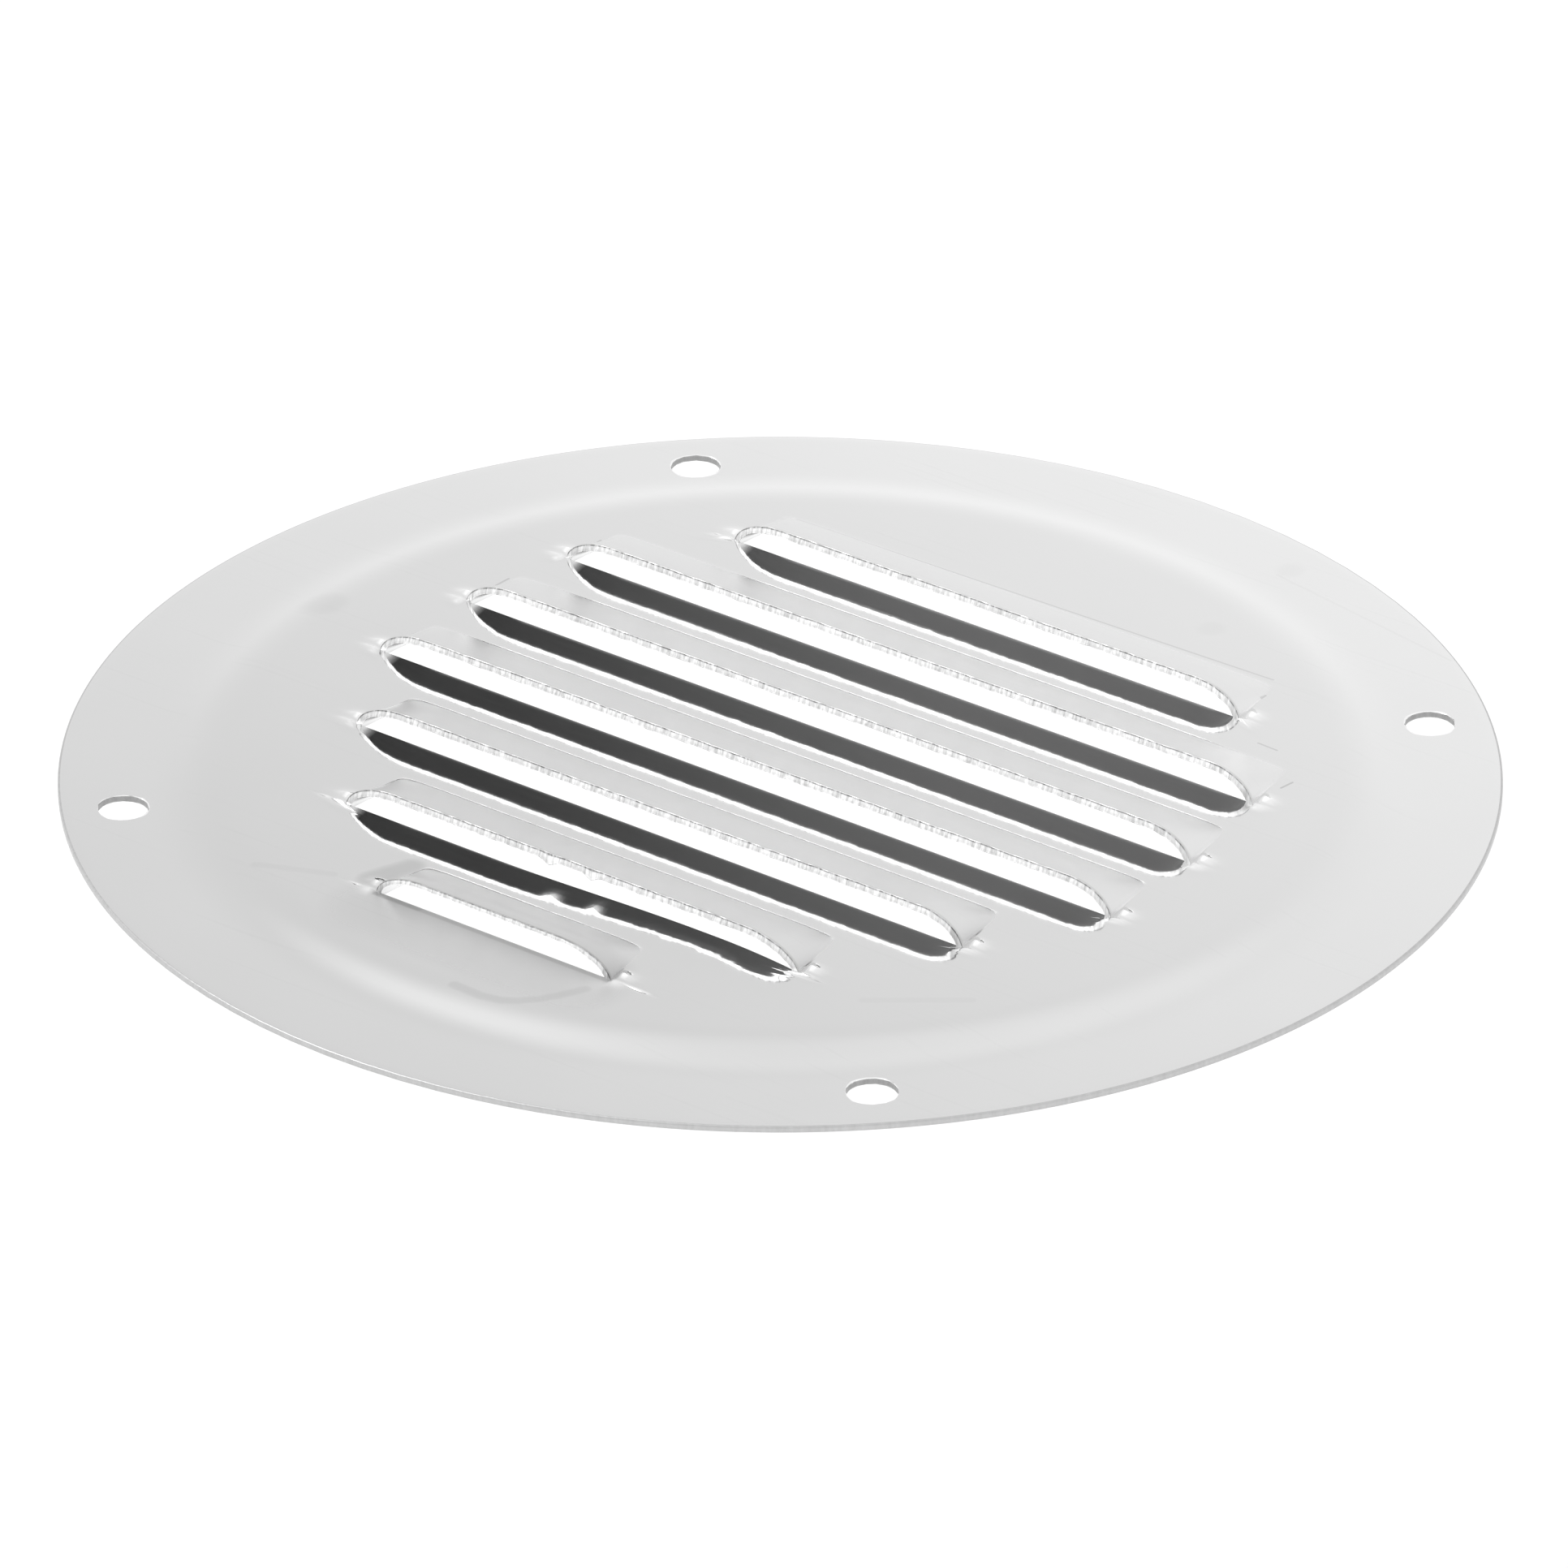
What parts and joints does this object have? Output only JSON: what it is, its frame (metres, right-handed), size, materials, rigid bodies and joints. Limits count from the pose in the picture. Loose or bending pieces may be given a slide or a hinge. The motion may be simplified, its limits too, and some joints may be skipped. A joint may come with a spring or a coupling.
{
  "type": "round vent cover",
  "caption": "Round pressed stainless sheet cover with a raised louvred panel that lets air pass and sheds rain, and a flat flange with screw holes.",
  "frame": {"origin": "middle of the flange's back face", "axes": "+Z out of the face, away from the wall; X along the louvres; every mouth faces -Y"},
  "size_m": [0.127, 0.127, 0.0042],
  "materials": {
    "stainless_steel": "polished face, duller back"
  },
  "bodies": {
    "root": {"vent_cover": "stainless_steel"}
  },
  "joints": []
}
